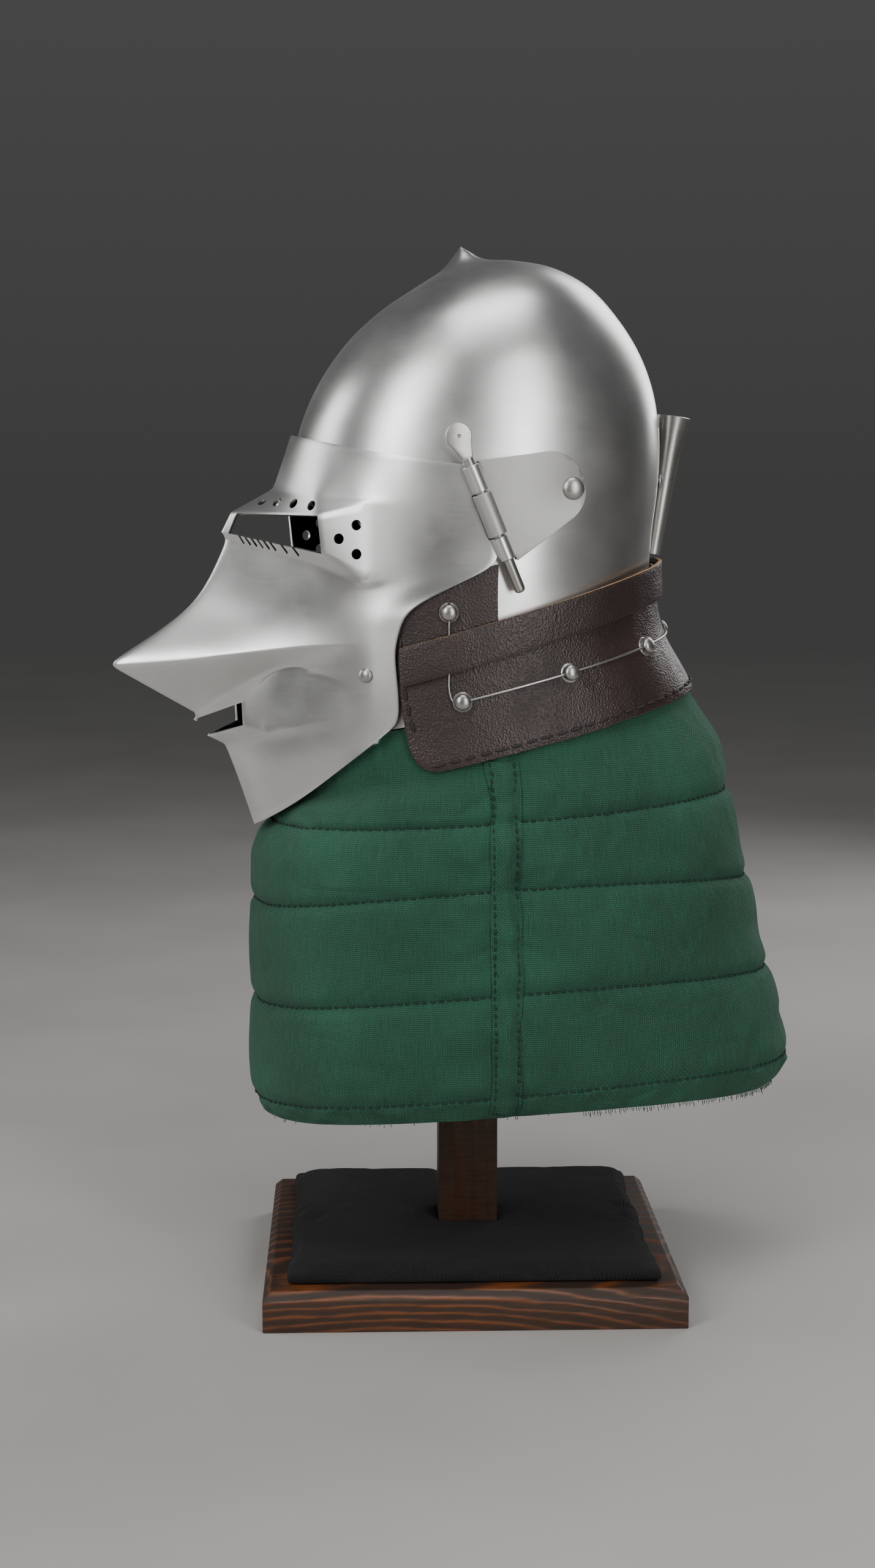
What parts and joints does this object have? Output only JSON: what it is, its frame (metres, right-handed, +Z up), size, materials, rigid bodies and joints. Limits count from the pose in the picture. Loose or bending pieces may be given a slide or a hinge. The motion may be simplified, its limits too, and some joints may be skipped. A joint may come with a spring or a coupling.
{
  "type": "hounskull bascinet helmet on a stand",
  "caption": "Pig-faced bascinet helmet with a lifting visor, a leather neck band and a padded cloth aventail, held up by a plain wooden stand.",
  "frame": {"origin": "centre of the underside of the stand's square base", "axes": "+Z up; the helmet faces -Y and its own left side is at +X; the stand's base is turned 9.6 degrees clockwise about +Z"},
  "size_m": [0.3228, 0.4754, 0.7125],
  "materials": {
    "brushed_steel": "satin steel, brushed by hand",
    "polished_steel": "bright polished steel fittings",
    "brown_leather": "dark brown, waxed, raw tan cut edges",
    "green_cloth": "quilted green canvas",
    "stained_wood": "dark brown stain",
    "black_cloth": "matt black cloth"
  },
  "bodies": {
    "helmet": {"aventail": "green_cloth", "aventail_leather": "brown_leather", "head_block": "stained_wood", "holder_rivet_left": "polished_steel", "holder_rivet_right": "polished_steel", "nape_strap": "brown_leather", "pivot_rivet_left": "polished_steel", "pivot_rivet_right": "polished_steel", "plume_holder": "polished_steel", "skull": "brushed_steel", "stand_base": "stained_wood", "stand_cloth": "black_cloth", "stand_post": "stained_wood", "vervelle_1_left": "polished_steel", "vervelle_1_right": "polished_steel", "vervelle_2_left": "polished_steel", "vervelle_2_right": "polished_steel", "vervelle_3_left": "polished_steel", "vervelle_3_right": "polished_steel", "vervelle_high_left": "polished_steel", "vervelle_high_right": "polished_steel", "vervelle_nape": "polished_steel", "vervelle_wire": "polished_steel"},
    "visor": {"visor": "brushed_steel", "side_plate_left": "brushed_steel", "side_plate_right": "brushed_steel", "visor_rivet_left": "polished_steel", "visor_rivet_right": "polished_steel"},
    "pin_left": {"hinge_pin_left": "polished_steel"},
    "pin_right": {"hinge_pin_right": "polished_steel"}
  },
  "joints": [
    {"name": "visor_lift", "type": "hinge", "parent": "helmet", "child": "visor", "pos_m": [0, 0.049, 0.549], "axis": [-1, 0, 0], "range_deg": [0, 80]},
    {"name": "pin_left_lift", "type": "slide", "parent": "visor", "child": "pin_left", "axis": [0, -0.3827, 0.9239], "range_m": [0, 0.09]},
    {"name": "pin_right_lift", "type": "slide", "parent": "visor", "child": "pin_right", "axis": [0, -0.3827, 0.9239], "range_m": [0, 0.09]}
  ]
}
